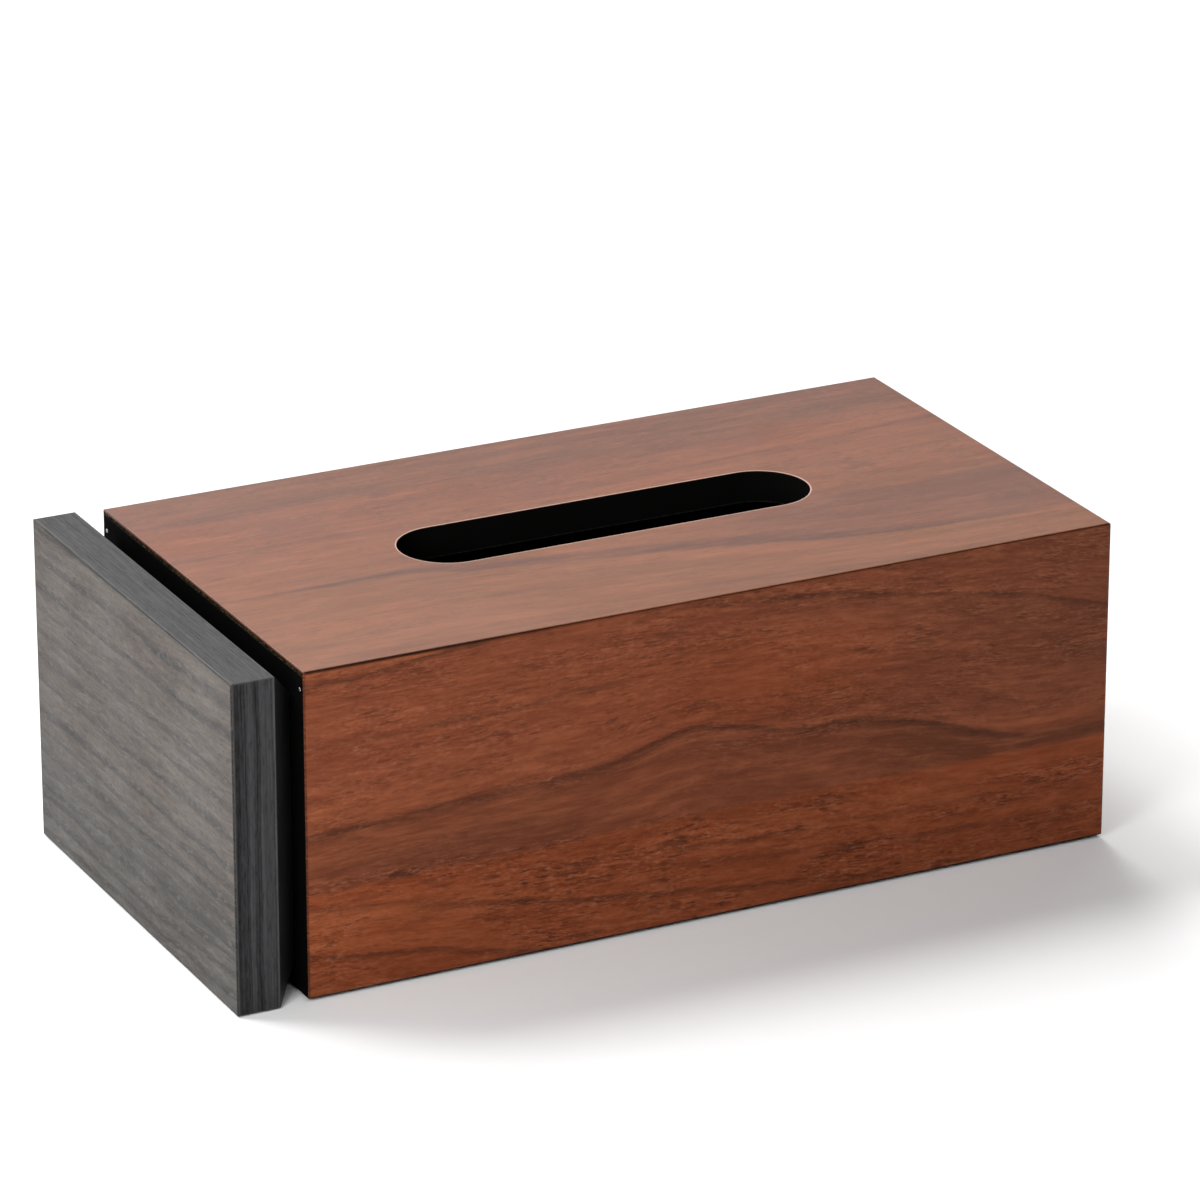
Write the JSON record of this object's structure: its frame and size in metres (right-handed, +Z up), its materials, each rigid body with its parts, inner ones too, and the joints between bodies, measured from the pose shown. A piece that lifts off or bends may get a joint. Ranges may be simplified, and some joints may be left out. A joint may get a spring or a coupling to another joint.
{
  "type": "tissue box with drawer",
  "caption": "Long veneered tissue box with a rounded slot in its top and a drawer that fills it from one end, pulled by a bevelled finger groove.",
  "frame": {"origin": "under the middle of the closed box, on the surface that it stands on", "axes": "+X along the box from the drawer front to the closed end, +Y to the far long side, +Z up"},
  "size_m": [0.255, 0.1304, 0.0914],
  "materials": {
    "walnut_veneer": "satin walnut veneer, grain along the box",
    "black_core": "black stained fibreboard, matt",
    "black_board": "black satin paint on board",
    "tray_board": "black satin paint on thin board",
    "grey_veneer": "grey stained veneer, matt, grain across the front",
    "charcoal_veneer": "charcoal stained edge band, matt, upright grain",
    "steel": "bright steel",
    "pad_felt": "black pressed felt"
  },
  "bodies": {
    "case": {"case_top_board": "black_core", "case_near_board": "black_core", "case_far_board": "black_core", "case_end_board": "black_core", "case_bottom_board": "black_core", "top_veneer": "walnut_veneer", "near_veneer": "walnut_veneer", "far_veneer": "walnut_veneer", "end_veneer": "walnut_veneer", "corner_brads": "steel", "foot_pads": "pad_felt"},
    "drawer": {"front_core": "black_core", "front_face_veneer": "grey_veneer", "front_top_band": "grey_veneer", "front_bottom_band": "grey_veneer", "front_near_band": "charcoal_veneer", "front_far_band": "charcoal_veneer", "front_backing": "black_board", "tray_front": "tray_board", "tray_back": "tray_board", "tray_near_side": "tray_board", "tray_far_side": "tray_board", "tray_bottom": "tray_board", "front_screws": "steel"}
  },
  "joints": [
    {"name": "drawer_slide", "type": "slide", "parent": "case", "child": "drawer", "axis": [-1, 0, 0], "range_m": [0, 0.2]}
  ]
}
